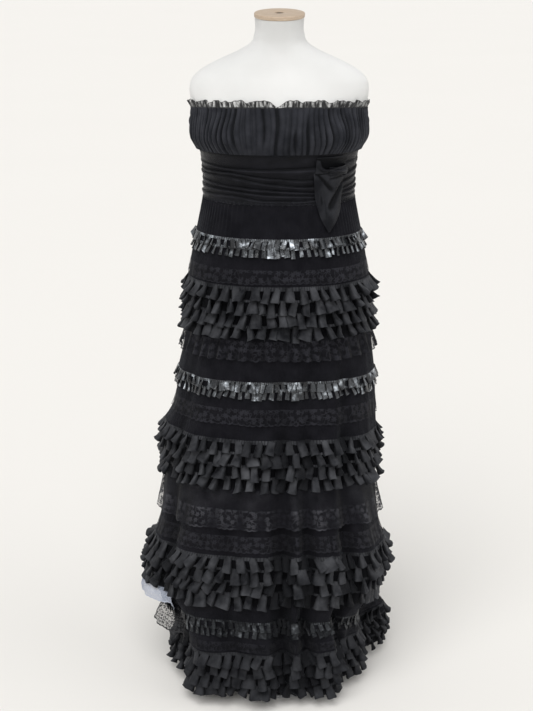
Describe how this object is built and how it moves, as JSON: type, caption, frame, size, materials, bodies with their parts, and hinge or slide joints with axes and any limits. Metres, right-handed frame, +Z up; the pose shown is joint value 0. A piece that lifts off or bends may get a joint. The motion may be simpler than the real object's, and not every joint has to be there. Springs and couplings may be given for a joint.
{
  "type": "strapless gown on dress form",
  "caption": "Full-length strapless gown with a gathered bodice, a sash with a side bow and ruffled tiers, worn by a limbless dress form on a round-footed stand.",
  "frame": {"origin": "centre of the underside of the stand's foot, on the floor", "axes": "+Z up along the stand, front of the gown towards -Y, +X towards the gown's left side"},
  "size_m": [0.5818, 0.4445, 1.4979],
  "materials": {
    "jersey": "matte knitted jersey",
    "beech": "pale waxed beech",
    "steel": "satin steel",
    "chiffon": "gathered black chiffon",
    "satin": "black satin",
    "taffeta": "matte black taffeta",
    "crepe": "black crepe lining",
    "glossy": "glossy coated pleats",
    "lace": "black floral lace",
    "net": "black net"
  },
  "bodies": {
    "root": {"form_torso": "jersey", "neck_cap": "beech", "stand_pole": "steel", "stand_foot": "steel", "bodice_front": "chiffon", "bodice_back": "chiffon", "neckline_frill": "net", "sash_front": "satin", "bow_tail": "satin", "bow_loop": "satin", "skirt_front": "crepe", "skirt_back_left": "crepe", "skirt_back_right": "crepe", "ruffle_hip_1": "taffeta", "ruffle_hip_2": "taffeta", "ruffle_hip_3": "taffeta", "ruffle_hip_4": "taffeta", "ruffle_thigh_1": "taffeta", "ruffle_thigh_2": "taffeta", "ruffle_thigh_3": "taffeta", "ruffle_thigh_4": "taffeta", "ruffle_knee_1": "taffeta", "ruffle_knee_2": "taffeta", "ruffle_knee_3": "taffeta", "ruffle_knee_4": "taffeta", "ruffle_hem_1": "taffeta", "ruffle_hem_2": "taffeta", "ruffle_hem_3": "taffeta", "ruffle_hem_4": "taffeta", "glossy_frill_hip": "glossy", "lace_band_hip": "lace", "lace_frill_hip": "lace", "glossy_frill_thigh": "glossy", "lace_band_thigh": "lace", "overlay_flounce": "net", "lace_band_knee": "lace", "glossy_frill_calf": "glossy", "lace_band_calf": "lace", "net_flounce_side": "net", "lace_flounce_side": "lace"}
  },
  "joints": []
}
